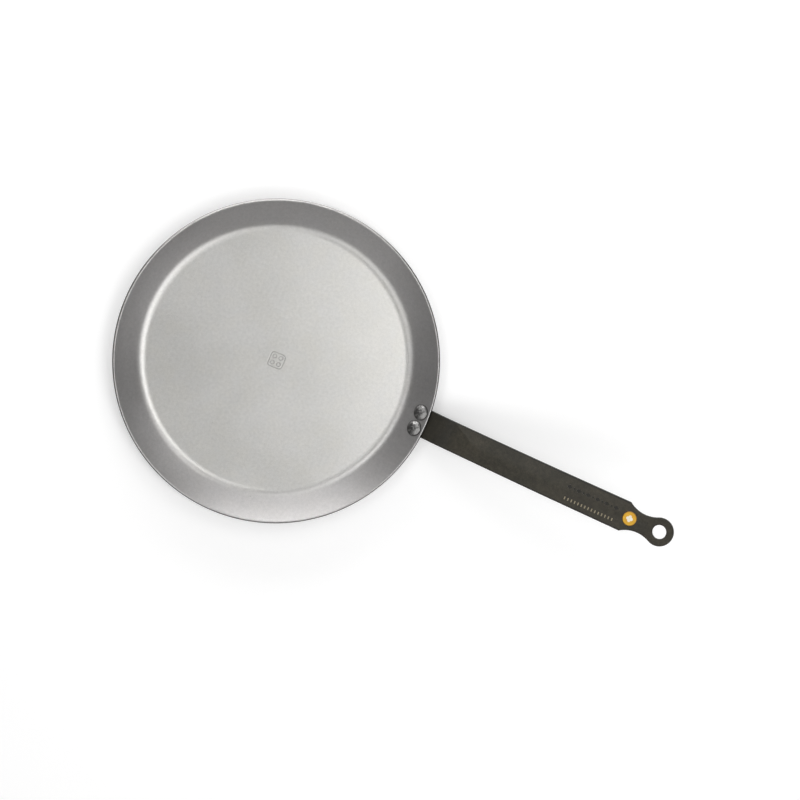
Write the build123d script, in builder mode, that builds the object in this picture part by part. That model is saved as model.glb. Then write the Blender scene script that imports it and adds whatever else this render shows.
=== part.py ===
from build123d import *
import math
import os

# A crepe pan in millimetres: a pressed steel pan, a riveted strip handle and a round badge.
# The pan stands on Z = 0 with its centre at the origin, and the handle runs out along +X.
# Angles are in degrees.

# Pan
rim_radius = 130.0          # to the outer corner of the cut edge, before its rounding
wall_length = 22.5          # up its inside, from the corner to the rim
wall_angle = 36.0           # rise of the wall
corner_radius = 9.0         # inside the pan, between floor and wall
sheet = 2.5
rim_round = 0.7             # on both corners of the cut edge

# Mark stamped in the middle of the floor: four hob rings in a rounded square
mark_side = 12.5
mark_corner = 2.4
mark_line = 0.7
mark_depth = 0.2
hob_ring_radius = 1.9
hob_ring_pitch = 5.2

# Rivets
rivet_to_rim = 8.0          # down the inside of the wall, from the rim to the middle of a head
rivet_spacing = 13.6
shank_radius = 3.0
shank_clearance = 0.1
inner_head_radius = 5.9
inner_head_skirt = 0.7      # straight side below the dome
inner_head_height = 2.5
outer_head_radius = 4.8
outer_head_skirt = 0.6
outer_head_height = 1.8
head_stock = 0.9            # metal that the wall or the lug trims to its own curve

# Handle strip
strip = 3.4                 # thickness at the edges
strip_root_width = 23.4     # at the rim
strip_end_width = 24.4      # at the shoulder before the waist
edge_bevel = 0.5            # along the strip's edges, the lug's outside and the hanging hole

# Crown, a low roof along the strip's top
crown = 1.2                 # height of its ridge
ridge_radius = 30.0
crown_start = 1.0           # from the end of the root bend to the foot of the crown
crown_fall = 3.0            # angle at which it falls to that foot
crown_to_hole = 3.6         # from the crown's tip to the edge of the hanging hole
crown_to_shoulder = 3.5     # from where it begins to narrow to the shoulder

# Lug, the spread end that hugs the outside of the wall
seat_gap = 0.05
lug_end_radius = 7.6        # round each rivet

# Line of the handle, seen from the side
root_bend_radius = 90.0
root_angle = 23.0           # rise after the root bend
root_run = 55.0
grip_bend_radius = 600.0
grip_angle = 18.5           # rise of the outer half
grip_run = 82.0             # from the grip bend to the middle of the ring

# Waist and ring
ring_radius = 11.3
hanging_hole_radius = 5.5
waist_width = 15.5
waist_radius = 24.0

# Badge
badge_setback = 25.2        # from the middle of the hanging hole
badge_radius = 5.6
badge_height = 1.3
badge_round = 0.35
badge_recess_depth = 1.9    # below the ridge
badge_clearance = 0.25
adhesive = 0.2
inlay_depth = 0.4
petal_radius = 1.3
petal_reach = 1.45          # from the middle of the badge to the middle of a petal

# Rows of stamped marks along the grip, one on each side of the ridge
row_setback = 58.0          # from the middle of the hanging hole to the middle of the rows
row_depth = 0.3
lozenge_count = 6
lozenge_pitch = 8.0
lozenge_length = 4.6
lozenge_width = 3.4
lozenge_row_reach = 3.4     # from the ridge
dot_radius = 0.8
tick_count = 15
tick_pitch = 2.9
tick_length = 2.4
tick_width = 0.9
tick_row_reach = 6.4        # from the ridge

overrun = 5.0               # of every cut, past the metal
level_share = 0.3           # most that a direction along the strip rises, of its own length

wall_slope = math.radians(wall_angle)
up = Vector(0, 0, 1)
sideways = Vector(0, 1, 0)

# The inside of the pan, from the rim down to the flat floor, and the place of the rivets on it
rim_inner_radius = rim_radius - sheet * math.sin(wall_slope)
base_radius = rim_inner_radius - wall_length * math.cos(wall_slope) - corner_radius * math.sin(wall_slope)
wall_start_height = sheet + corner_radius * (1 - math.cos(wall_slope))
rivet_circle = rim_inner_radius - rivet_to_rim * math.cos(wall_slope)
rivet_height = wall_start_height + (wall_length - rivet_to_rim) * math.sin(wall_slope)
rivet_turn = math.degrees(math.asin(rivet_spacing / 2 / rivet_circle))


def wall_plane(turn):
    """Plane on the inside of the wall at the rivet circle, turned about the pan's axis."""
    outward = Vector(1, 0, 0).rotate(Axis.Z, turn)
    climb = outward * math.cos(wall_slope) + up * math.sin(wall_slope)
    into_pan = up * math.cos(wall_slope) - outward * math.sin(wall_slope)
    return Plane(origin=outward * rivet_circle + up * rivet_height, x_dir=climb, z_dir=into_pan)


def profile_plane(plane):
    """Plane through another plane's X and Z, with that Z as its Y."""
    return Plane(origin=plane.origin, x_dir=plane.x_dir, z_dir=plane.y_dir * -1)


def section_plane(point, direction):
    """Plane square to the handle's line, with its Y out of the handle's top."""
    return Plane(origin=point, x_dir=sideways, z_dir=direction)


# Pan before drilling: the section of the sheet, turned about Z
with BuildPart() as pan_shell:
    with BuildSketch(Plane.XZ):
        with BuildLine():
            pan_floor = Line((0, sheet), (base_radius, sheet))
            inner_corner = JernArc(pan_floor @ 1, (1, 0), corner_radius, wall_angle)
            inner_wall = PolarLine(inner_corner @ 1, wall_length, wall_angle)
            cut_edge = PolarLine(inner_wall @ 1, sheet, wall_angle - 90)
            outer_wall = PolarLine(cut_edge @ 1, wall_length, wall_angle + 180)
            RadiusArc(outer_wall @ 1, (base_radius, 0), corner_radius + sheet)
            Polyline((base_radius, 0), (0, 0), (0, sheet))
        make_face()
        fillet(vertices().sort_by(Axis.X)[-2:], rim_round)
    revolve(axis=Axis.Z)

rivet_planes = [wall_plane(rivet_turn), wall_plane(-rivet_turn)]
drill_length = 2 * (sheet + strip + overrun)

with BuildPart() as pan_body:
    add(pan_shell.part)
    with Locations(*rivet_planes):
        Cylinder(shank_radius + shank_clearance, drill_length, mode=Mode.SUBTRACT)
    with BuildSketch(Plane.XY.offset(sheet)):
        RectangleRounded(mark_side, mark_side, mark_corner)
        inside = mark_side - 2 * mark_line
        RectangleRounded(inside, inside, mark_corner - mark_line, mode=Mode.SUBTRACT)
        with GridLocations(hob_ring_pitch, hob_ring_pitch, 2, 2):
            Circle(hob_ring_radius)
            Circle(hob_ring_radius - mark_line, mode=Mode.SUBTRACT)
    extrude(amount=-mark_depth, mode=Mode.SUBTRACT)

pan_body.part.label = "pan_body"

# Line of the handle's top, from under the rivets to the tip
lug_plane = wall_plane(0).offset(-(sheet + seat_gap))
with BuildLine(Plane.XZ) as handle_line:
    lug_line = Line(lug_plane.origin, lug_plane.from_local_coords(Vector(rivet_to_rim, 0, 0)))
    root_bend = JernArc(lug_line @ 1, lug_line % 1, root_bend_radius, root_angle - wall_angle)
    root_line = Line(root_bend @ 1, root_bend @ 1 + (root_bend % 1) * root_run)
    grip_bend = JernArc(root_line @ 1, root_line % 1, grip_bend_radius, grip_angle - root_angle)
    grip_line = Line(grip_bend @ 1, grip_bend @ 1 + (grip_bend % 1) * grip_run)
    tip_line = Line(grip_line @ 1, grip_line @ 1 + (grip_line % 1) * (ring_radius + overrun))

# The strip hugs the wall at the lug, and flattens along the root bend.
hug_radius = rim_radius / math.sin(wall_slope)


def dish(width):
    """How far the sides of a strip that hugs the wall lie above its middle."""
    return hug_radius - math.sqrt(hug_radius**2 - (width / 2) ** 2)


def strip_section(width, lift):
    """Section of the strip, with its sides lifted above its middle."""
    side = width / 2
    with BuildSketch() as section:
        with BuildLine():
            if lift > 0:
                top = ThreePointArc((-side, lift), (0, 0), (side, lift))
                bottom = ThreePointArc((side, lift - strip), (0, -strip), (-side, lift - strip))
            else:
                top = Line((-side, 0), (side, 0))
                bottom = Line((side, -strip), (-side, -strip))
            Line(top @ 1, bottom @ 0)
            Line(bottom @ 1, top @ 0)
        make_face()
    return section.sketch


lug_length = lug_end_radius + rivet_to_rim
lug_width = rivet_spacing + 2 * (lug_end_radius + overrun)
with BuildPart() as lug:
    with BuildSketch(section_plane(lug_line @ 1, lug_line % 1)):
        add(strip_section(lug_width, dish(lug_width)))
    extrude(amount=-(lug_length + overrun))
    with BuildSketch(lug_plane):
        SlotCenterToCenter(rivet_spacing, 2 * lug_end_radius, rotation=90)
        with Locations((rivet_to_rim / 2, 0)):
            Rectangle(rivet_to_rim, strip_root_width)
    extrude(amount=2 * strip, both=True, mode=Mode.INTERSECT)
    outside = faces().sort_by(Axis(lug_plane.origin, lug_plane.z_dir))[0]
    lug_edges = outside.edges().sort_by(Axis(lug_plane.origin, lug_plane.x_dir))[:-1]
    chamfer(lug_edges, edge_bevel)

# The outer half of the grip is flat, so its features sit on planes parallel to this one.
ring_plane = section_plane(grip_line @ 1, grip_line % 1)
ring_plane = Plane(origin=ring_plane.origin, x_dir=ring_plane.z_dir, z_dir=ring_plane.y_dir)


def on_grip(setback, height):
    """Plane set back from the hanging hole along the grip, and raised above its edges."""
    return Plane(
        origin=ring_plane.from_local_coords(Vector(-setback, 0, height)),
        x_dir=ring_plane.x_dir,
        z_dir=ring_plane.z_dir,
    )


def rises_little(direction):
    """Whether a direction keeps nearly to the plane of the ring."""
    return abs(direction.dot(ring_plane.z_dir)) < level_share


def outline_edges(solid):
    """Edges along the top and bottom of the strip's two sides."""
    sides = solid.faces().filter_by(
        lambda face: rises_little(face.normal_at()) and abs(face.center().Y) > hanging_hole_radius
    )
    return sides.edges().filter_by(lambda edge: rises_little(edge % 0.5))


# Plan of the grip: a long taper to the shoulder, a round waist on each side, and the ring
waist_centre = waist_width / 2 + waist_radius
waist_x = -math.sqrt((waist_radius + ring_radius) ** 2 - waist_centre**2)
shoulder_y = strip_end_width / 2
shoulder_x = waist_x - math.sqrt(waist_radius**2 - (waist_centre - shoulder_y) ** 2)
ring_share = ring_radius / (ring_radius + waist_radius)
root_x = ring_plane.to_local_coords(root_line @ 0).X
root_y = strip_root_width / 2

with BuildPart() as grip:
    with BuildSketch(section_plane(root_line @ 0, root_line % 0)):
        Rectangle(strip_end_width, strip, align=(Align.CENTER, Align.MAX))
    sweep(path=Wire([root_line, grip_bend, grip_line, tip_line]))
    with BuildSketch(ring_plane):
        with BuildLine():
            waist_end = (waist_x * ring_share, waist_centre * ring_share)
            Polyline((root_x - overrun, 0), (root_x - overrun, root_y), (root_x, root_y))
            Line((root_x, root_y), (shoulder_x, shoulder_y))
            RadiusArc((shoulder_x, shoulder_y), waist_end, -waist_radius)
            RadiusArc(waist_end, (ring_radius, 0), ring_radius)
            mirror(about=Plane.XZ)
        make_face()
    extrude(amount=grip_run, both=True, mode=Mode.INTERSECT)
    chamfer(outline_edges(grip.part), edge_bevel)

# Crown: it rises gently from its foot, and narrows to a point before the hanging hole
crown_side = strip_root_width / 2 - edge_bevel
crown_tip = on_grip(hanging_hole_radius + crown_to_hole, 0).origin


def crown_end(side):
    """Plane of the facet in which one side of the crown narrows to its tip."""
    narrowing = shoulder_x - crown_to_shoulder
    foot = ring_plane.from_local_coords(Vector(narrowing, side * crown_side, 0))
    ridge = ring_plane.from_local_coords(Vector(narrowing, 0, crown))
    return Plane(origin=crown_tip, z_dir=(foot - crown_tip).cross(ridge - crown_tip) * side)


with BuildPart() as crown_roof:
    with BuildSketch(section_plane(root_line @ 0, root_line % 0)):
        with BuildLine():
            Polyline((-crown_side, 0), (crown_side, 0), (0, crown), (-crown_side, 0))
        make_face()
        fillet(vertices().sort_by(Axis.Y)[-1], ridge_radius)
    sweep(path=Wire([root_line, grip_bend, grip_line]))
    crown_foot = root_line @ 0 + (root_line % 0) * crown_start
    rise = (root_line % 0).rotate(Axis.Y, -crown_fall)
    split(bisect_by=Plane(origin=crown_foot, z_dir=rise.cross(sideways)), keep=Keep.BOTTOM)
    split(bisect_by=crown_end(1), keep=Keep.BOTTOM)
    split(bisect_by=crown_end(-1), keep=Keep.BOTTOM)

# The whole handle before its holes
with BuildPart() as handle_blank:
    for t in (0, 0.5, 1):
        with BuildSketch(section_plane(root_bend @ t, root_bend % t)):
            add(strip_section(strip_root_width, dish(strip_root_width) * (1 - t)))
    loft()
    chamfer(outline_edges(handle_blank.part), edge_bevel)
    add(grip.part)
    add(crown_roof.part)
    add(lug.part)

# Slopes of the crown on each side of the ridge, for the rows of marks
crown_slope = math.atan2(crown, crown_side)
row_start = on_grip(row_setback, crown)


def slope_plane(side):
    """Plane of the crown's slope on one side of the ridge, with its origin at the ridge."""
    normal = ring_plane.z_dir * math.cos(crown_slope) + sideways * (side * math.sin(crown_slope))
    return Plane(origin=row_start.origin, x_dir=ring_plane.x_dir, z_dir=normal)


with BuildPart() as handle:
    add(handle_blank.part)
    with Locations(*rivet_planes):
        Cylinder(shank_radius + shank_clearance, drill_length, mode=Mode.SUBTRACT)
    with Locations(ring_plane):
        Cylinder(hanging_hole_radius, drill_length, mode=Mode.SUBTRACT)
    chamfer(edges(Select.LAST).filter_by(GeomType.CIRCLE), edge_bevel)
    with BuildSketch(on_grip(badge_setback, crown - badge_recess_depth)):
        Circle(badge_radius + badge_clearance)
    extrude(amount=badge_recess_depth + overrun, mode=Mode.SUBTRACT)
    with BuildSketch(slope_plane(1).offset(-row_depth)):
        with Locations((0, lozenge_row_reach)):
            with GridLocations(lozenge_pitch, 0, lozenge_count, 1):
                half_length = lozenge_length / 2
                half_width = lozenge_width / 2
                Polygon((half_length, 0), (0, half_width), (-half_length, 0), (0, -half_width))
            with GridLocations(lozenge_pitch, 0, lozenge_count - 1, 1):
                Circle(dot_radius)
    extrude(amount=row_depth + overrun, mode=Mode.SUBTRACT)
    with BuildSketch(slope_plane(-1).offset(-row_depth)):
        with Locations((0, -tick_row_reach)):
            with GridLocations(tick_pitch, 0, tick_count, 1):
                Rectangle(tick_width, tick_length)
    extrude(amount=row_depth + overrun, mode=Mode.SUBTRACT)

handle.part.label = "handle"


# Rivets: a domed head inside the pan, a shank, and a formed head under the lug
def make_rivet(plane):
    """Rivet with its axis on a wall plane's Z, its heads trimmed by the wall and the lug."""
    axis = Axis(plane.origin, plane.z_dir)
    under_lug = -(sheet + seat_gap + strip)
    with BuildPart() as rivet:
        with BuildSketch(profile_plane(plane)):
            with BuildLine():
                Polyline(
                    (0, inner_head_height),
                    (0, -head_stock),
                    (inner_head_radius, -head_stock),
                    (inner_head_radius, inner_head_skirt),
                )
                dome = inner_head_height - inner_head_skirt
                dome_radius = (inner_head_radius**2 + dome**2) / (2 * dome)
                RadiusArc((inner_head_radius, inner_head_skirt), (0, inner_head_height), -dome_radius)
            make_face()
        revolve(axis=axis)
        with BuildSketch(profile_plane(plane)):
            with BuildLine():
                Polyline(
                    (0, under_lug - outer_head_height),
                    (0, under_lug + head_stock),
                    (outer_head_radius, under_lug + head_stock),
                    (outer_head_radius, under_lug - outer_head_skirt),
                )
                dome = outer_head_height - outer_head_skirt
                dome_radius = (outer_head_radius**2 + dome**2) / (2 * dome)
                RadiusArc(
                    (outer_head_radius, under_lug - outer_head_skirt),
                    (0, under_lug - outer_head_height),
                    dome_radius,
                )
            make_face()
        revolve(axis=axis)
        add(pan_shell.part, mode=Mode.SUBTRACT)
        add(handle_blank.part, mode=Mode.SUBTRACT)
        with BuildSketch(plane.offset(inner_head_skirt)):
            Circle(shank_radius)
        extrude(amount=under_lug - outer_head_skirt - inner_head_skirt)
    return rivet.part


rivet_left = make_rivet(rivet_planes[0])
rivet_left.label = "rivet_left"
rivet_right = make_rivet(rivet_planes[1])
rivet_right.label = "rivet_right"

# Badge: glued into its recess, with a white figure of four petals let into its face
recess_floor = crown - badge_recess_depth
badge_axis = Axis(ring_plane.origin, ring_plane.z_dir)
with BuildPart() as badge_adhesive:
    with BuildSketch(on_grip(badge_setback, recess_floor)):
        Circle(badge_radius)
    extrude(amount=adhesive)

with BuildPart() as badge_inlay:
    with BuildSketch(on_grip(badge_setback, recess_floor + adhesive + badge_height - inlay_depth)):
        with PolarLocations(petal_reach, 4):
            Circle(petal_radius)
    extrude(amount=inlay_depth)

with BuildPart() as badge:
    with BuildSketch(on_grip(badge_setback, recess_floor + adhesive)):
        Circle(badge_radius)
    extrude(amount=badge_height)
    fillet(edges().filter_by(GeomType.CIRCLE).sort_by(badge_axis)[-1], badge_round)
    add(badge_inlay.part, mode=Mode.SUBTRACT)

badge_adhesive.part.label = "badge_adhesive"
badge_inlay.part.label = "badge_inlay"
badge.part.label = "badge"

os.makedirs("parts", exist_ok=True)
for piece in (
    pan_body.part,
    handle.part,
    rivet_left,
    rivet_right,
    badge.part,
    badge_inlay.part,
    badge_adhesive.part,
):
    export_step(piece, f"parts/{piece.label}.step")
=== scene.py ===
import math
import random

import bmesh
import bpy
from mathutils import Euler, Matrix, Vector


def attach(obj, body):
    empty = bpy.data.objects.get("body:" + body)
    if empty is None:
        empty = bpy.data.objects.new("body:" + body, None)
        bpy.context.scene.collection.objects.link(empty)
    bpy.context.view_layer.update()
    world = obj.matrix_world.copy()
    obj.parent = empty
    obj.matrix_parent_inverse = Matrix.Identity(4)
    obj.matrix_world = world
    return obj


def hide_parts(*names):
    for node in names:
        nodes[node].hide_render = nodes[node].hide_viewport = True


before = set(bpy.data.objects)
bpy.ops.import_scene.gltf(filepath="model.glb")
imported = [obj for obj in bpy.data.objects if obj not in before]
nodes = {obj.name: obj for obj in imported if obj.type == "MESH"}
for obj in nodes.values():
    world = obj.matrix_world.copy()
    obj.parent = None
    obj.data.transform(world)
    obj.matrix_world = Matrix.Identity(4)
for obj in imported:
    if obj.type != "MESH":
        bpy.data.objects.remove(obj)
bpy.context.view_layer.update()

# Everything is in metres: the pan lies on the floor at z = 0, and its handle runs along +X.
MM = 0.001

# Pan: sizes of the solid, with a corner and wall that curve more softly than the solid's
sheet = 2.5 * MM
floor_radius = 105.04 * MM
wall_start = 110.33 * MM
wall_angle = math.radians(36)
wall_run = 31.47 * MM
bend_length = 10.5 * MM
bend_angle = math.radians(34)
rim_angle = math.radians(38.5)
rim_corner = Vector((128.53, 17.444)) * MM
rim_top = 17.17 * MM
rim_round = 0.7 * MM
# Side of the rim that gets a painted highlight; the cut edge on the other side gets painted shade.
rim_highlight_side = Vector((-0.39, 0.92, 0))

# Stamped mark in the middle of the pan's floor
mark_side = 12.5 * MM
mark_corner = 2.4 * MM
mark_line = 0.7 * MM
mark_soft = 0.1 * MM
mark_depth = 0.2 * MM
mark_reach = 10 * MM
mark_ring_radius = 1.9 * MM
mark_ring_pitch = 5.2 * MM

# Rivets, in the wall's frame: the inner head's top is +Z, and the outer head is under the lug
rivet_circle = 122.06 * MM
rivet_height = 12.74 * MM
rivet_turn = math.radians(3.19)
head_radius = 5.9 * MM
head_skirt = 0.7 * MM
head_height = 2.5 * MM
head_edge = 0.5 * MM
head_foot = 5.7 * MM
head_sink = 0.3 * MM
shank_radius = 3.0 * MM
under_lug = -5.95 * MM
outer_radius = 4.8 * MM
outer_skirt = 0.6 * MM
outer_height = 1.8 * MM
outer_edge = 0.4 * MM

# Handle and badge
grip_angle = math.radians(18.5)
crown = 1.2 * MM
crown_half_width = 11.0 * MM
ring_centre = Vector((320.21, 0, 89.615)) * MM
root_reach = -188 * MM
badge_centre = Vector((296.06, 0, 82.38)) * MM


def wall_frame(turn):
    """Axes of a rivet: X up the wall, Y along the rim, Z into the pan."""
    outward = Vector((math.cos(turn), math.sin(turn), 0))
    up = Vector((0, 0, 1))
    climb = outward * math.cos(wall_angle) + up * math.sin(wall_angle)
    into_pan = up * math.cos(wall_angle) - outward * math.sin(wall_angle)
    around = into_pan.cross(climb)
    origin = outward * rivet_circle + up * rivet_height
    return Matrix((
        (climb.x, around.x, into_pan.x, origin.x),
        (climb.y, around.y, into_pan.y, origin.y),
        (climb.z, around.z, into_pan.z, origin.z),
        (0, 0, 0, 1),
    ))


# Node helpers
def add_node(tree, kind, inputs=None, **settings):
    """One shader node. Each input is a value or another node's output."""
    made = tree.nodes.new(kind)
    for name, value in settings.items():
        setattr(made, name, value)
    for name, value in (inputs or {}).items():
        if isinstance(value, bpy.types.NodeSocket):
            tree.links.new(value, made.inputs[name])
        else:
            made.inputs[name].default_value = value
    return made


def maths(tree, operation, first, second=0.0, clamp=False):
    """A sum, product or other operation on two values."""
    return add_node(
        tree, "ShaderNodeMath", {0: first, 1: second}, operation=operation, use_clamp=clamp
    ).outputs[0]


def ramp(tree, value, low, high, to_low=0.0, to_high=1.0):
    """Value brought smoothly from one range to another, and held at its ends."""
    return add_node(
        tree,
        "ShaderNodeMapRange",
        {"Value": value, "From Min": low, "From Max": high, "To Min": to_low, "To Max": to_high},
        interpolation_type="SMOOTHSTEP",
    ).outputs["Result"]


def blend_colours(tree, factor, first, second, how="MIX"):
    """Two colours mixed by a factor."""
    made = add_node(tree, "ShaderNodeMix", data_type="RGBA", blend_type=how)
    for index, value in ((0, factor), (6, first), (7, second)):
        if isinstance(value, bpy.types.NodeSocket):
            tree.links.new(value, made.inputs[index])
        else:
            made.inputs[index].default_value = value
    return made.outputs[2]


def tint(tree, mask, share, under, over):
    """One colour laid over another where a mask is set, up to a share of it."""
    return blend_colours(tree, maths(tree, "MULTIPLY", mask, share), under, over)


def noise_at(tree, position, scale, detail, roughness, distortion=0.0):
    """Noise at a place, at a number of cells to the metre."""
    inputs = {
        "Vector": position,
        "Scale": scale,
        "Detail": detail,
        "Roughness": roughness,
        "Distortion": distortion,
    }
    return add_node(tree, "ShaderNodeTexNoise", inputs).outputs[0]


def grey(level):
    """A grey as a colour."""
    return (level, level, level, 1.0)


def new_group(name, inputs, outputs):
    """An empty shader node group with its named inputs and outputs."""
    group = bpy.data.node_groups.new(name, "ShaderNodeTree")
    for label, kind, value in inputs:
        socket = group.interface.new_socket(label, in_out="INPUT", socket_type="NodeSocket" + kind)
        if value is not None:
            socket.default_value = value
    for label, kind in outputs:
        group.interface.new_socket(label, in_out="OUTPUT", socket_type="NodeSocket" + kind)
    start = group.nodes.new("NodeGroupInput").outputs
    end = group.nodes.new("NodeGroupOutput").inputs
    return group, start, end


def use_group(tree, group, **inputs):
    """A group placed in a material, its inputs given by name with _ for a space."""
    named = {name.replace("_", " "): value for name, value in inputs.items()}
    return add_node(tree, "ShaderNodeGroup", named, node_tree=group).outputs


# Effects shared by the finishes
def make_grain_group():
    """Fine grain of a blasted or sprayed surface, in two sizes."""
    group, start, end = new_group(
        "surface grain",
        [("Position", "Vector", None), ("Grain size", "Float", 0.001), ("Contrast", "Float", 1.0)],
        [("Tone", "Float"), ("Height", "Float")],
    )
    scale = maths(group, "DIVIDE", 1.0, start["Grain size"])
    fine = noise_at(group, start["Position"], scale, 3.0, 0.62)
    coarse = noise_at(group, start["Position"], maths(group, "MULTIPLY", scale, 0.27), 2.0, 0.5)
    fine_part = maths(group, "MULTIPLY", fine, 0.6)
    both = maths(group, "ADD", fine_part, maths(group, "MULTIPLY", coarse, 0.4))
    centred = maths(group, "SUBTRACT", both, 0.5)
    spread = maths(group, "MULTIPLY", centred, start["Contrast"])
    group.links.new(maths(group, "ADD", spread, 0.5, clamp=True), end["Tone"])
    group.links.new(both, end["Height"])
    return group


def make_cloud_group():
    """Soft patches of lighter and darker tone."""
    group, start, end = new_group(
        "soft patches",
        [("Position", "Vector", None), ("Patch size", "Float", 0.04), ("Sharpness", "Float", 0.2)],
        [("Tone", "Float")],
    )
    scale = maths(group, "DIVIDE", 1.0, start["Patch size"])
    noise = noise_at(group, start["Position"], scale, 4.0, 0.55, distortion=0.6)
    half = maths(group, "MULTIPLY", start["Sharpness"], -1.0)
    low = maths(group, "ADD", half, 0.78)
    high = maths(group, "ADD", start["Sharpness"], 0.22)
    group.links.new(ramp(group, noise, high, low), end["Tone"])
    return group


def make_speck_group():
    """Small scattered specks, such as pores and specks of dust."""
    group, start, end = new_group(
        "scattered specks",
        [
            ("Position", "Vector", None),
            ("Spacing", "Float", 0.006),
            ("Size", "Float", 0.08),
            ("Share", "Float", 0.3),
        ],
        [("Mask", "Float")],
    )
    scale = maths(group, "DIVIDE", 1.0, start["Spacing"])
    places = {"Vector": start["Position"], "Scale": scale, "Randomness": 1.0}
    cells = add_node(group, "ShaderNodeTexVoronoi", places)
    chosen = maths(group, "LESS_THAN", cells.outputs["Color"], start["Share"])
    edge = maths(group, "MULTIPLY", start["Size"], 0.4)
    near = ramp(group, cells.outputs["Distance"], edge, start["Size"], 1.0, 0.0)
    group.links.new(maths(group, "MULTIPLY", chosen, near), end["Mask"])
    return group


def make_wear_group():
    """Wear along an edge, broken up so that it comes and goes."""
    group, start, end = new_group(
        "edge wear",
        [
            ("Edge", "Float", 0.0),
            ("Position", "Vector", None),
            ("Patch size", "Float", 0.01),
            ("Amount", "Float", 0.5),
        ],
        [("Mask", "Float")],
    )
    scale = maths(group, "DIVIDE", 1.0, start["Patch size"])
    noise = noise_at(group, start["Position"], scale, 5.0, 0.7)
    low = maths(group, "SUBTRACT", 0.75, maths(group, "MULTIPLY", start["Amount"], 0.5))
    high = maths(group, "ADD", low, 0.2)
    patches = ramp(group, noise, low, high)
    group.links.new(maths(group, "MULTIPLY", patches, start["Edge"]), end["Mask"])
    return group


grain_group = make_grain_group()
cloud_group = make_cloud_group()
speck_group = make_speck_group()
wear_group = make_wear_group()


# Finishes
def new_finish(name):
    """A material with its shader node, and the place on the object in metres."""
    finish = bpy.data.materials.new(name)
    finish.use_nodes = True
    tree = finish.node_tree
    shader = tree.nodes["Principled BSDF"]
    position = add_node(tree, "ShaderNodeTexCoord").outputs["Object"]
    return finish, tree, shader, position


def patches_at(tree, position, patch_size, sharpness):
    """Tone of soft patches."""
    placed = use_group(
        tree, cloud_group, Position=position, Patch_size=patch_size, Sharpness=sharpness
    )
    return placed["Tone"]


def grain_at(tree, position, grain_size, contrast):
    """Tone and height of fine grain."""
    return use_group(
        tree, grain_group, Position=position, Grain_size=grain_size, Contrast=contrast
    )


def specks_at(tree, position, spacing, size, share):
    """Mask of scattered specks."""
    placed = use_group(
        tree, speck_group, Position=position, Spacing=spacing, Size=size, Share=share
    )
    return placed["Mask"]


def wear_at(tree, position, edge, patch_size, amount):
    """Mask of wear along an edge."""
    placed = use_group(
        tree, wear_group, Edge=edge, Position=position, Patch_size=patch_size, Amount=amount
    )
    return placed["Mask"]


def bump(tree, height, distance, strength, under=None):
    """A normal raised by a height, over another one if given."""
    inputs = {"Height": height, "Distance": distance, "Strength": strength}
    if under is not None:
        inputs["Normal"] = under
    return add_node(tree, "ShaderNodeBump", inputs).outputs["Normal"]


def set_shader(shader, **values):
    """Constants of a shader, given by name with _ for a space."""
    for name, value in values.items():
        shader.inputs[name.replace("_", " ")].default_value = value


def along(tree, position, origin, direction):
    """How far a place lies from an origin along a direction."""
    offset = add_node(
        tree, "ShaderNodeVectorMath", {0: position, 1: origin}, operation="SUBTRACT"
    ).outputs["Vector"]
    return add_node(
        tree, "ShaderNodeVectorMath", {0: offset, 1: direction}, operation="DOT_PRODUCT"
    ).outputs["Value"]


def distance_from(tree, position, point):
    """How far a place lies from a point."""
    return add_node(
        tree, "ShaderNodeVectorMath", {0: position, 1: point}, operation="DISTANCE"
    ).outputs["Value"]


def distance_from_axis(tree, position, point, axis):
    """How far a place lies from a line."""
    out = add_node(
        tree, "ShaderNodeVectorMath", {0: position, 1: point}, operation="SUBTRACT"
    ).outputs["Vector"]
    square = add_node(
        tree, "ShaderNodeVectorMath", {0: out, 1: axis}, operation="CROSS_PRODUCT"
    ).outputs["Vector"]
    return add_node(tree, "ShaderNodeVectorMath", {0: square}, operation="LENGTH").outputs["Value"]


def band(tree, value, low, high, soft):
    """1 between two values and 0 outside them, with soft edges."""
    rise = ramp(tree, value, low - soft, low)
    fall = ramp(tree, value, high, high + soft, 1.0, 0.0)
    return maths(tree, "MULTIPLY", rise, fall)


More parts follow.
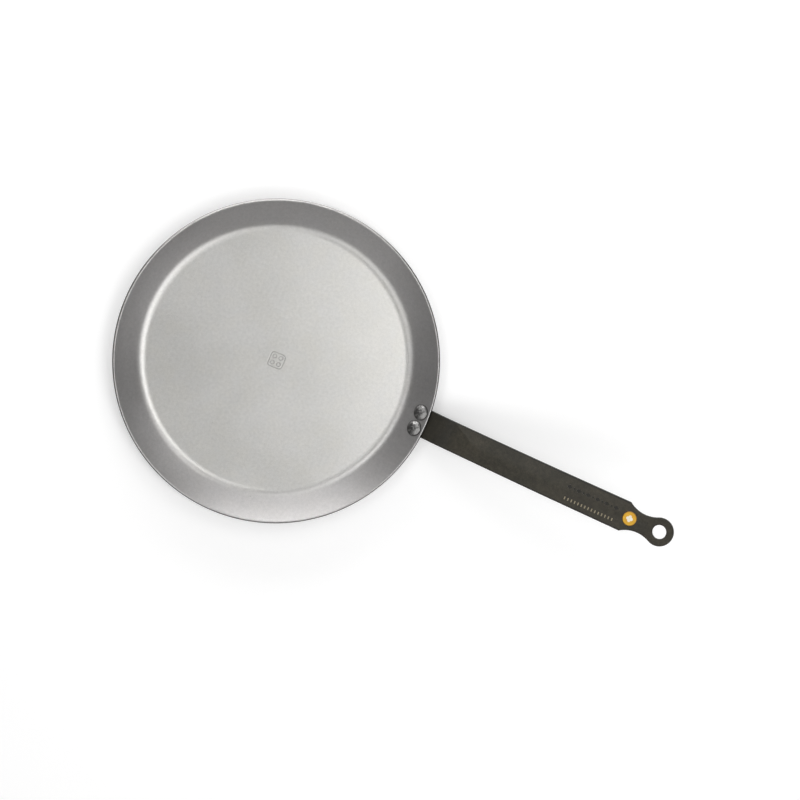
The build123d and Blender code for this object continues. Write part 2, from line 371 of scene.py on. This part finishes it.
def make_pan_steel():
    """Bare satin steel: grain, patches, specks, painted shade on the wall, painted contact shade
    with grime round the rivets, and a dark cut edge with painted shade at the front and a painted
    highlight at the back.
    """
    finish, tree, shader, position = new_finish("pan steel")
    height = add_node(tree, "ShaderNodeSeparateXYZ", {"Vector": position}).outputs["Z"]
    radius = distance_from_axis(tree, position, (0, 0, 0), (0, 0, 1))

    clouds = patches_at(tree, position, 0.055, 0.1)
    stains = patches_at(tree, position, 0.016, 0.14)
    grain = grain_at(tree, position, 0.00065, 1.2)
    pores = specks_at(tree, position, 0.011, 0.045, 0.35)
    glints = specks_at(tree, position, 0.0083, 0.05, 0.3)

    warm = blend_colours(tree, clouds, (0.525, 0.518, 0.493, 1), (0.553, 0.546, 0.526, 1))
    mottled = tint(tree, stains, 0.3, warm, (0.518, 0.521, 0.524, 1))
    # The wall and its bend are coloured darker than the floor: painted shade that dims their
    # reflections.
    wall_shade_mask = ramp(tree, radius, floor_radius - 3 * MM, wall_start + 4 * MM)
    wall_shaded = tint(tree, wall_shade_mask, 0.6, mottled, (0.465, 0.45, 0.455, 1))
    grain_tone = ramp(tree, grain["Tone"], 0.2, 0.8, 0.87, 1.08)
    grained = blend_colours(tree, 1.0, wall_shaded, grain_tone, how="MULTIPLY")
    pored = tint(tree, pores, 0.6, grained, (0.22, 0.215, 0.21, 1))
    speckled = tint(tree, glints, 0.3, pored, (0.8, 0.8, 0.79, 1))

    mark_floor = sheet - mark_depth
    sunk = band(tree, height, mark_floor - 0.03 * MM, mark_floor + 0.05 * MM, 0.08 * MM)
    in_middle = ramp(tree, radius, mark_reach - 1 * MM, mark_reach, 1.0, 0.0)
    in_mark = maths(tree, "MULTIPLY", sunk, in_middle)
    marked = tint(tree, in_mark, 0.45, speckled, (0.21, 0.205, 0.2, 1))
    # Round each rivet head the steel is darkened: painted contact shade, with some grime.
    rivet_shade_and_grime = None
    for turn in (rivet_turn, -rivet_turn):
        centre = wall_frame(turn).translation
        away = distance_from(tree, position, centre)
        ring = ramp(tree, away, 6.0 * MM, 6.9 * MM, 1.0, 0.0)
        rivet_shade_and_grime = ring if rivet_shade_and_grime is None else maths(tree, "MAXIMUM", rivet_shade_and_grime, ring)
    shaded_and_grimy = tint(tree, rivet_shade_and_grime, 0.75, marked, (0.06, 0.057, 0.055, 1))
    at_rim = ramp(tree, height, rim_top - 0.8 * MM, rim_top - 0.2 * MM)
    rim_wear_and_sheen = wear_at(tree, position, at_rim, 0.01, 0.8)
    # The sheet's cut edge is dark, partly its own colour and partly painted shade that is strongest
    # at the front; along the back its worn patches carry a painted highlight.
    toward_highlight_side = along(tree, position, (0, 0, 0), rim_highlight_side)
    rim_highlight_share = ramp(tree, toward_highlight_side, -90 * MM, 60 * MM, 0.0, 0.5)
    rim_worn_and_highlit = tint(tree, rim_wear_and_sheen, rim_highlight_share, shaded_and_grimy, (0.7, 0.69, 0.67, 1))
    rim_edge_shade_share = ramp(tree, toward_highlight_side, 70 * MM, 115 * MM, 0.85, 0.25)
    cut_edge_and_shade = ramp(tree, radius, rim_corner.x - 0.1 * MM, rim_corner.x + 0.4 * MM)
    cut_edge_shaded = tint(tree, cut_edge_and_shade, rim_edge_shade_share, rim_worn_and_highlit, (0.05, 0.048, 0.046, 1))
    tree.links.new(cut_edge_shaded, shader.inputs["Base Color"])

    rough = ramp(tree, clouds, 0.0, 1.0, 0.33, 0.35)
    rougher = maths(tree, "ADD", rough, maths(tree, "MULTIPLY", grain["Tone"], 0.06))
    tree.links.new(rougher, shader.inputs["Roughness"])
    set_shader(shader, Metallic=1.0)
    tree.links.new(bump(tree, grain["Height"], 0.0001, 0.3), shader.inputs["Normal"])
    return finish


def make_handle_coat():
    """Dark bronze coat on the strip: orange peel, patches, painted shade on the edges and next to
    the pan, a worn ridge, bare marks.
    """
    finish, tree, shader, position = new_finish("handle coat")
    slope = Vector((-math.sin(grip_angle), 0, math.cos(grip_angle)))
    grip = Vector((math.cos(grip_angle), 0, math.sin(grip_angle)))
    normal_here = add_node(tree, "ShaderNodeNewGeometry").outputs["Normal"]
    facing = add_node(
        tree, "ShaderNodeVectorMath", {0: normal_here, 1: slope}, operation="DOT_PRODUCT"
    ).outputs["Value"]
    on_bevel = band(tree, facing, 0.5, 0.88, 0.06)
    side = add_node(tree, "ShaderNodeSeparateXYZ", {"Vector": position}).outputs["Y"]
    off_middle = maths(tree, "ABSOLUTE", side)
    reach = along(tree, position, ring_centre, grip)
    near_side = ramp(tree, off_middle, 10.4 * MM, 11.3 * MM)
    before_waist = ramp(tree, reach, -30 * MM, -28 * MM, 1.0, 0.0)
    by_edge = maths(tree, "MULTIPLY", near_side, before_waist)
    painted_edge_shade = maths(tree, "MAXIMUM", by_edge, on_bevel)

    clouds = patches_at(tree, position, 0.02, 0.12)
    grain = grain_at(tree, position, 0.0007, 1.5)
    dust = specks_at(tree, position, 0.0045, 0.06, 0.25)
    on_ridge = ramp(tree, off_middle, 0.1 * MM, 0.7 * MM, 0.6, 0.0)
    worn_edges = maths(tree, "MAXIMUM", on_bevel, on_ridge)
    wear = wear_at(tree, position, worn_edges, 0.004, 0.45)

    bronze = blend_colours(tree, clouds, (0.0245, 0.022, 0.0145, 1), (0.035, 0.0305, 0.0205, 1))
    grain_tone = ramp(tree, grain["Tone"], 0.2, 0.8, 0.62, 1.38)
    grained = blend_colours(tree, 1.0, bronze, grain_tone, how="MULTIPLY")
    # Painted shade: the strip is darkened at its root by the pan, and along its bevels and long
    # sides before the waist.
    in_pan_shadow = ramp(tree, reach, root_reach, root_reach + 16 * MM, 1.0, 0.0)
    shaded = tint(tree, in_pan_shadow, 0.5, grained, (0.011, 0.0105, 0.009, 1))
    edge_shaded = tint(tree, painted_edge_shade, 0.7, shaded, (0.005, 0.0045, 0.004, 1))
    worn = tint(tree, wear, 0.5, edge_shaded, (0.11, 0.10, 0.085, 1))
    dusty = tint(tree, dust, 0.3, worn, (0.10, 0.094, 0.083, 1))

    # The marks are stamped below the slopes: ticks down to bare metal, lozenges filled with coat.
    crown_slope = math.atan2(crown, crown_half_width)
    ridge = ring_centre + slope * crown
    masks = []
    for facing_side in (-1, 1):
        tilt = Vector((0, facing_side, 0)) * math.sin(crown_slope) + slope * math.cos(crown_slope)
        depth = along(tree, position, ridge, tilt)
        in_depth = band(tree, depth, -0.33 * MM, -0.2 * MM, 0.06 * MM)
        on_side = maths(tree, "MULTIPLY", side, float(facing_side))
        in_row = band(tree, on_side, 1.2 * MM, 8.3 * MM, 0.3 * MM)
        in_length = band(tree, reach, -82 * MM, -34 * MM, 1 * MM)
        in_place = maths(tree, "MULTIPLY", in_depth, in_row)
        masks.append(maths(tree, "MULTIPLY", in_place, in_length))
    ticks, lozenges = masks
    filled = tint(tree, lozenges, 0.75, dusty, (0.006, 0.0055, 0.0045, 1))
    marked = tint(tree, ticks, 0.85, filled, (0.36, 0.31, 0.22, 1))
    tree.links.new(marked, shader.inputs["Base Color"])

    rough = maths(tree, "ADD", maths(tree, "MULTIPLY", grain["Tone"], 0.14), 0.31)
    rough = maths(tree, "ADD", rough, maths(tree, "MULTIPLY", painted_edge_shade, 0.12))
    tree.links.new(rough, shader.inputs["Roughness"])
    bare_wear = maths(tree, "MULTIPLY", wear, 0.5)
    bare_ticks = maths(tree, "MULTIPLY", ticks, 0.8)
    metal = maths(tree, "ADD", bare_wear, bare_ticks, clamp=True)
    tree.links.new(metal, shader.inputs["Metallic"])
    set_shader(shader, Specular_IOR_Level=0.34)
    normal = bump(tree, grain["Height"], 0.00016, 0.5)
    tree.links.new(normal, shader.inputs["Normal"])
    return finish


def make_rivet_steel():
    """Hammered steel, darker than the pan, with brighter high spots, and painted contact shade with
    grime round its foot.
    """
    finish, tree, shader, position = new_finish("rivet steel")
    height = add_node(tree, "ShaderNodeSeparateXYZ", {"Vector": position}).outputs["Z"]
    clouds = patches_at(tree, position, 0.003, 0.2)
    grain = grain_at(tree, position, 0.0005, 1.3)
    pits = specks_at(tree, position, 0.0014, 0.2, 0.35)
    base = blend_colours(tree, clouds, (0.16, 0.157, 0.156, 1), (0.32, 0.316, 0.31, 1))
    grain_tone = ramp(tree, grain["Tone"], 0.2, 0.8, 0.8, 1.12)
    grained = blend_colours(tree, 1.0, base, grain_tone, how="MULTIPLY")
    pitted = tint(tree, pits, 0.5, grained, (0.08, 0.075, 0.07, 1))
    # Round the foot the steel is darkened: painted contact shade, with some grime.
    foot_shade_and_grime = band(tree, height, -0.5 * MM, 0.55 * MM, 0.3 * MM)
    shaded_and_grimy = tint(tree, foot_shade_and_grime, 0.8, pitted, (0.035, 0.033, 0.03, 1))
    tree.links.new(shaded_and_grimy, shader.inputs["Base Color"])
    rough = maths(tree, "ADD", maths(tree, "MULTIPLY", grain["Tone"], 0.14), 0.3)
    rough = maths(tree, "ADD", rough, maths(tree, "MULTIPLY", foot_shade_and_grime, 0.2))
    tree.links.new(rough, shader.inputs["Roughness"])
    set_shader(shader, Metallic=1.0)
    normal = bump(tree, grain["Height"], 0.00015, 0.4)
    normal = bump(tree, clouds, 0.0003, 0.3, under=normal)
    tree.links.new(normal, shader.inputs["Normal"])
    return finish


def make_badge_amber():
    """Amber enamel under a clear gloss, with painted shade toward its rim and a few bubbles."""
    finish, tree, shader, position = new_finish("badge amber")
    axis = Vector((-math.sin(grip_angle), 0, math.cos(grip_angle)))
    radius = distance_from_axis(tree, position, badge_centre, axis)
    clouds = patches_at(tree, position, 0.003, 0.12)
    grain = grain_at(tree, position, 0.0003, 1.0)
    bubbles = specks_at(tree, position, 0.0011, 0.12, 0.2)
    amber = blend_colours(tree, clouds, (0.57, 0.29, 0.008, 1), (0.67, 0.37, 0.013, 1))
    # Toward its rim the amber is darkened: painted shade from the recess around it.
    badge_rim_shade = ramp(tree, radius, 4.8 * MM, 5.5 * MM)
    edge_shaded = tint(tree, badge_rim_shade, 0.7, amber, (0.2, 0.075, 0.006, 1))
    speckled = tint(tree, bubbles, 0.3, edge_shaded, (0.8, 0.5, 0.1, 1))
    tree.links.new(speckled, shader.inputs["Base Color"])
    tree.links.new(ramp(tree, grain["Tone"], 0.0, 1.0, 0.3, 0.44), shader.inputs["Roughness"])
    set_shader(shader, Coat_Weight=0.3, Coat_Roughness=0.2)
    tree.links.new(bump(tree, grain["Height"], 0.00005, 0.25), shader.inputs["Normal"])
    return finish


def make_badge_white():
    """Cream white enamel of the inlay, slightly uneven."""
    finish, tree, shader, position = new_finish("badge white")
    clouds = patches_at(tree, position, 0.0015, 0.1)
    grain = grain_at(tree, position, 0.0003, 1.0)
    cream = blend_colours(tree, clouds, (0.74, 0.69, 0.56, 1), (0.82, 0.78, 0.68, 1))
    tree.links.new(cream, shader.inputs["Base Color"])
    tree.links.new(ramp(tree, grain["Tone"], 0.0, 1.0, 0.3, 0.44), shader.inputs["Roughness"])
    set_shader(shader, Coat_Weight=0.3, Coat_Roughness=0.2)
    tree.links.new(bump(tree, grain["Height"], 0.00005, 0.25), shader.inputs["Normal"])
    return finish


def make_glue():
    """Dull cured glue under the badge."""
    finish, tree, shader, position = new_finish("glue")
    clouds = patches_at(tree, position, 0.002, 0.1)
    grain = grain_at(tree, position, 0.0004, 1.0)
    brown = blend_colours(tree, clouds, (0.30, 0.25, 0.16, 1), (0.40, 0.34, 0.23, 1))
    tree.links.new(brown, shader.inputs["Base Color"])
    tree.links.new(ramp(tree, grain["Tone"], 0.0, 1.0, 0.55, 0.7), shader.inputs["Roughness"])
    tree.links.new(bump(tree, grain["Height"], 0.0001, 0.3), shader.inputs["Normal"])
    return finish


# Pan: one pressed sheet, with its stamped mark sunk in the middle of the floor
def arc(centre, radius, start, end, steps):
    """Points along an arc in a section, after its first point. Angles in degrees."""
    made = []
    for index in range(1, steps + 1):
        angle = math.radians(start + (end - start) * index / steps)
        made.append(centre + radius * Vector((math.cos(angle), math.sin(angle))))
    return made


def stretch(first, last, steps):
    """Points along a straight run in a section, after its first point."""
    return [first.lerp(last, index / steps) for index in range(1, steps + 1)]


def wall_curve(steps):
    """Inside of the wall: place and slope of each point, from the floor to the rim.

    The sheet turns up slowly out of the floor, and the wall then curves on a little.
    """
    fine = 20
    step = wall_run / (steps * fine)
    place, points = Vector((0, 0)), [(Vector((0, 0)), 0.0)]
    for index in range(steps * fine):
        reach = (index + 0.5) * step
        turned = min(reach / bend_length, 1)
        slope = bend_angle * turned**2 * (3 - 2 * turned)
        slope += (rim_angle - bend_angle) * max(reach - bend_length, 0) / (wall_run - bend_length)
        place = place + Vector((math.cos(slope), math.sin(slope))) * step
        if (index + 1) % fine == 0:
            points.append((place.copy(), slope))
    end = points[-1][0]
    lift = (rim_corner.y - sheet) / end.y
    first_reach = rim_corner.x - end.x
    return [(Vector((first_reach + x, sheet + y * lift)), slope) for (x, y), slope in points]


def pan_section():
    """Section of the sheet, from the middle of the floor round the rim to the underside."""
    slope = math.degrees(wall_angle)
    climb = Vector((math.cos(wall_angle), math.sin(wall_angle)))
    across = Vector((math.sin(wall_angle), -math.cos(wall_angle)))
    wall = wall_curve(64)[:-2]
    under = [point + Vector((math.sin(turn), -math.cos(turn))) * sheet for point, turn in wall]
    outer_corner = rim_corner + across * sheet
    inner_round = rim_corner + (across - climb) * rim_round
    outer_round = outer_corner - (across + climb) * rim_round
    points = stretch(Vector((mark_reach, sheet)), wall[0][0], 14)
    points += [point for point, turn in wall[1:]]
    points += arc(inner_round, rim_round, slope + 90, slope, 7)
    points += stretch(points[-1], outer_corner - across * rim_round, 3)
    points += arc(outer_round, rim_round, slope, slope - 90, 6)
    points += under[::-1]
    points += stretch(points[-1], Vector((4 * MM, 0)), 6)
    return points


def line_mask(distance):
    """How deep a stamped line is at a distance from its middle, from 1 to 0."""
    past_line = abs(distance) - mark_line / 2 + mark_soft
    return 1 - min(max(past_line / (2 * mark_soft), 0), 1)


def mark_sink(x, y):
    """Depth of the stamped mark: a rounded square with four rings in it."""
    half = mark_side / 2 - mark_line / 2 - mark_corner
    out = Vector((max(abs(x) - half, 0), max(abs(y) - half, 0))).length - mark_corner
    if out == -mark_corner:
        out = max(abs(x), abs(y)) - half - mark_corner
    ring_middle = mark_ring_radius - mark_line / 2
    ring_out = math.hypot(abs(x) - mark_ring_pitch / 2, abs(y) - mark_ring_pitch / 2) - ring_middle
    return mark_depth * max(line_mask(out), line_mask(ring_out))


def close_rings(mesh, rows, top_height, bottom_height):
    """Faces between rings of points, with a fan of faces closing the first and the last ring."""
    around = len(rows[0])
    for first, second in zip(rows, rows[1:]):
        for index in range(around):
            following = (index + 1) % around
            mesh.faces.new((first[index], second[index], second[following], first[following]))
    top = mesh.verts.new((0, 0, top_height))
    bottom = mesh.verts.new((0, 0, bottom_height))
    for index in range(around):
        following = (index + 1) % around
        mesh.faces.new((top, rows[0][index], rows[0][following]))
        mesh.faces.new((bottom, rows[-1][following], rows[-1][index]))


def make_pan():
    """The pan as one closed, finely divided shell."""
    around = 384
    mesh = bmesh.new()
    turns = [2 * math.pi * index / around for index in range(around)]
    rows = []
    mark_rings = 64
    for step in range(1, mark_rings + 1):
        reach = mark_reach * step / mark_rings
        places = [(reach * math.cos(turn), reach * math.sin(turn)) for turn in turns]
        rows.append([mesh.verts.new((x, y, sheet - mark_sink(x, y))) for x, y in places])
    for reach, height in pan_section():
        places = [(reach * math.cos(turn), reach * math.sin(turn)) for turn in turns]
        rows.append([mesh.verts.new((x, y, max(height, 0))) for x, y in places])
    close_rings(mesh, rows, sheet - mark_sink(0, 0), 0)
    return finish_mesh(mesh, "pressed_pan")


def finish_mesh(mesh, name, sharp=60):
    """A bmesh made into a smooth object, with its steep edges kept sharp."""
    bmesh.ops.recalc_face_normals(mesh, faces=mesh.faces)
    for face in mesh.faces:
        face.smooth = True
    data = bpy.data.meshes.new(name)
    mesh.to_mesh(data)
    mesh.free()
    data.set_sharp_from_angle(angle=math.radians(sharp))
    made = bpy.data.objects.new(name, data)
    bpy.context.scene.collection.objects.link(made)
    return made


# Rivets: turned heads with hammer dents, on a shank through the wall and the lug
def dome_height(reach, radius, skirt, height):
    """Height of a domed head at a distance from its axis."""
    dome = height - skirt
    sphere = (radius**2 + dome**2) / (2 * dome)
    return skirt + math.sqrt(max(sphere**2 - reach**2, 0)) - (sphere - dome)


def make_dents(rng, count, reach, smallest, largest, deepest):
    """Hammer dents: place, size and depth of each."""
    dents = []
    for _ in range(count):
        turn = rng.uniform(0, 2 * math.pi)
        out = reach * math.sqrt(rng.random())
        size = rng.uniform(smallest, largest)
        depth = rng.uniform(0.4, 1.0) * deepest
        dents.append((out * math.cos(turn), out * math.sin(turn), size, depth))
    return dents


def dent_depth(dents, x, y):
    """How far the dents sink a place. Each is a shallow bowl, and they don't add up."""
    deepest = 0.0
    for dent_x, dent_y, size, depth in dents:
        away = math.hypot(x - dent_x, y - dent_y) / size
        if away < 1:
            deepest = max(deepest, depth * (1 - away**2) ** 1.5)
    return deepest


def head_rings(radius, skirt, height, edge, rings):
    """Reach and height of each ring of a head, from its middle out over its rounded edge."""
    made = []
    flat_reach = radius - edge
    for index in range(1, rings + 1):
        reach = flat_reach * index / rings
        made.append((reach, dome_height(reach, radius, skirt, height)))
    top = made[-1][1]
    for index in range(1, 6):
        bend = math.radians(18 * index)
        made.append((flat_reach + edge * math.sin(bend), top - edge * (1 - math.cos(bend))))
    return made


def make_rivet(name, turn, seed):
    """One closed rivet: inner head, shank and outer head, in the wall's frame."""
    rng = random.Random(seed)
    dents = make_dents(rng, 16, 4.6 * MM, 1.3 * MM, 2.6 * MM, 0.24 * MM)
    under_dents = make_dents(rng, 9, 3.6 * MM, 1.3 * MM, 2.4 * MM, 0.2 * MM)
    around = 96
    hug = rivet_circle / math.sin(wall_angle)
    mesh = bmesh.new()

    def ring(reach, height, dents=None, outside=1):
        made = []
        for index in range(around):
            angle = 2 * math.pi * index / around
            x, y = reach * math.cos(angle), reach * math.sin(angle)
            z = height(y) if callable(height) else height
            if dents:
                z -= outside * dent_depth(dents, x, y)
            made.append(mesh.verts.new((x, y, z)))
        return made

    inner = head_rings(head_radius, head_skirt, head_height, head_edge, 26)
    outer = head_rings(outer_radius, outer_skirt, outer_height, outer_edge, 18)

    def seat(y):
        return y**2 / (2 * hug)

    rows = [ring(reach, height, dents) for reach, height in inner]
    rows.append(ring(head_radius, seat))
    rows.append(ring(head_foot, -head_sink))
    rows.append(ring(shank_radius, -head_sink))
    rows.append(ring(shank_radius, under_lug))
    rows.append(ring(outer_radius, under_lug))
    for reach, height in reversed(outer):
        rows.append(ring(reach, under_lug - height, under_dents, outside=-1))
    top_height = head_height - dent_depth(dents, 0, 0)
    bottom_height = under_lug - outer_height + dent_depth(under_dents, 0, 0)
    close_rings(mesh, rows, top_height, bottom_height)
    rivet = finish_mesh(mesh, name, sharp=50)
    rivet.matrix_world = wall_frame(turn)
    return rivet


# The object: the solids with their finishes, and the pan and rivets in finer form
pan = make_pan()
pan.data.materials.append(make_pan_steel())
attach(pan, "root")
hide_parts("pan_body")

finishes = {
    "handle": make_handle_coat(),
    "badge": make_badge_amber(),
    "badge_inlay": make_badge_white(),
    "badge_adhesive": make_glue(),
}
for name, finish in finishes.items():
    data = nodes[name].data
    data.materials.clear()
    data.materials.append(finish)

rivet_steel = make_rivet_steel()
for name, turn, seed in (("rivet_left", rivet_turn, 4), ("rivet_right", -rivet_turn, 9)):
    rivet = make_rivet("hammered_" + name, turn, seed)
    rivet.data.materials.append(rivet_steel)
    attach(rivet, "root")
    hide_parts(name)


# Floor, lamps and camera
def make_floor():
    """A wide pale floor, a little brighter to the camera and in reflections."""
    data = bpy.data.meshes.new("pale_floor")
    made = bmesh.new()
    bmesh.ops.create_circle(made, cap_ends=True, segments=96, radius=6.0)
    made.to_mesh(data)
    made.free()
    floor = bpy.data.objects.new("pale_floor", data)
    bpy.context.scene.collection.objects.link(floor)
    finish = bpy.data.materials.new("pale floor")
    finish.use_nodes = True
    tree = finish.node_tree
    shader = tree.nodes["Principled BSDF"]
    set_shader(shader, Base_Color=grey(floor_colour), Roughness=0.9, Specular_IOR_Level=0.1)
    path = add_node(tree, "ShaderNodeLightPath").outputs
    seen = maths(tree, "ADD", path["Is Camera Ray"], path["Is Glossy Ray"])
    seen = maths(tree, "ADD", seen, path["Is Transmission Ray"], clamp=True)
    strength = maths(tree, "MULTIPLY", seen, floor_glow)
    light = {"Color": grey(1.0), "Strength": strength}
    glow = add_node(tree, "ShaderNodeEmission", light).outputs[0]
    both = add_node(tree, "ShaderNodeAddShader", {0: shader.outputs[0], 1: glow}).outputs[0]
    tree.links.new(both, tree.nodes["Material Output"].inputs["Surface"])
    data.materials.append(finish)


def make_lamp(name, azimuth, elevation, width, height, power):
    """A soft box round the pan that faces its middle. Angles in degrees, azimuth from +X."""
    data = bpy.data.lights.new(name, "AREA")
    data.shape = "RECTANGLE"
    data.size = width
    data.size_y = height
    data.energy = power
    turn, rise = math.radians(azimuth), math.radians(elevation)
    out = Vector((math.cos(turn) * math.cos(rise), math.sin(turn) * math.cos(rise), math.sin(rise)))
    lamp = bpy.data.objects.new(name, data)
    lamp.location = lit_point + out * lamp_reach
    lamp.rotation_euler = (-out).to_track_quat("-Z", "Y").to_euler()
    bpy.context.scene.collection.objects.link(lamp)


floor_colour = 0.9
floor_glow = 0.19
world_grey = 0.18
lit_point = Vector((0.03, 0, 0))
lamp_reach = 1.4
make_floor()
# Each lamp's azimuth, elevation, width, height and power
make_lamp("low back strip", 116, 12, 1.9, 0.5, 16.0)
make_lamp("low front strip", 283, 18, 1.9, 0.5, 0.9)
make_lamp("overhead box", 20, 74, 0.5, 0.5, 2.65)
make_lamp("right box", 58, 48, 0.7, 0.5, 1.9)
make_lamp("back box", 120, 52, 0.8, 0.6, 2.1)
make_lamp("left box", 168, 65, 0.45, 0.45, 1.85)
make_lamp("front left box", 249, 54, 0.85, 0.9, 3.2)
make_lamp("front box", 290, 52, 0.8, 0.8, 0.5)
make_lamp("front right box", 341, 52, 0.8, 0.8, 4.6)

world = bpy.data.worlds.new("studio")
bpy.context.scene.world = world
world.use_nodes = True
world.node_tree.nodes["Background"].inputs["Color"].default_value = grey(world_grey)

camera_data = bpy.data.cameras.new("camera")
camera_data.lens = 108
camera = bpy.data.objects.new("camera", camera_data)
camera.location = (-0.1511, 0.2060, 1.9010)
camera.rotation_euler = Euler((math.radians(-8.424), math.radians(-4.699), math.radians(23.301)))
bpy.context.scene.collection.objects.link(camera)
bpy.context.scene.camera = camera
bpy.context.scene.view_settings.view_transform = "Standard"
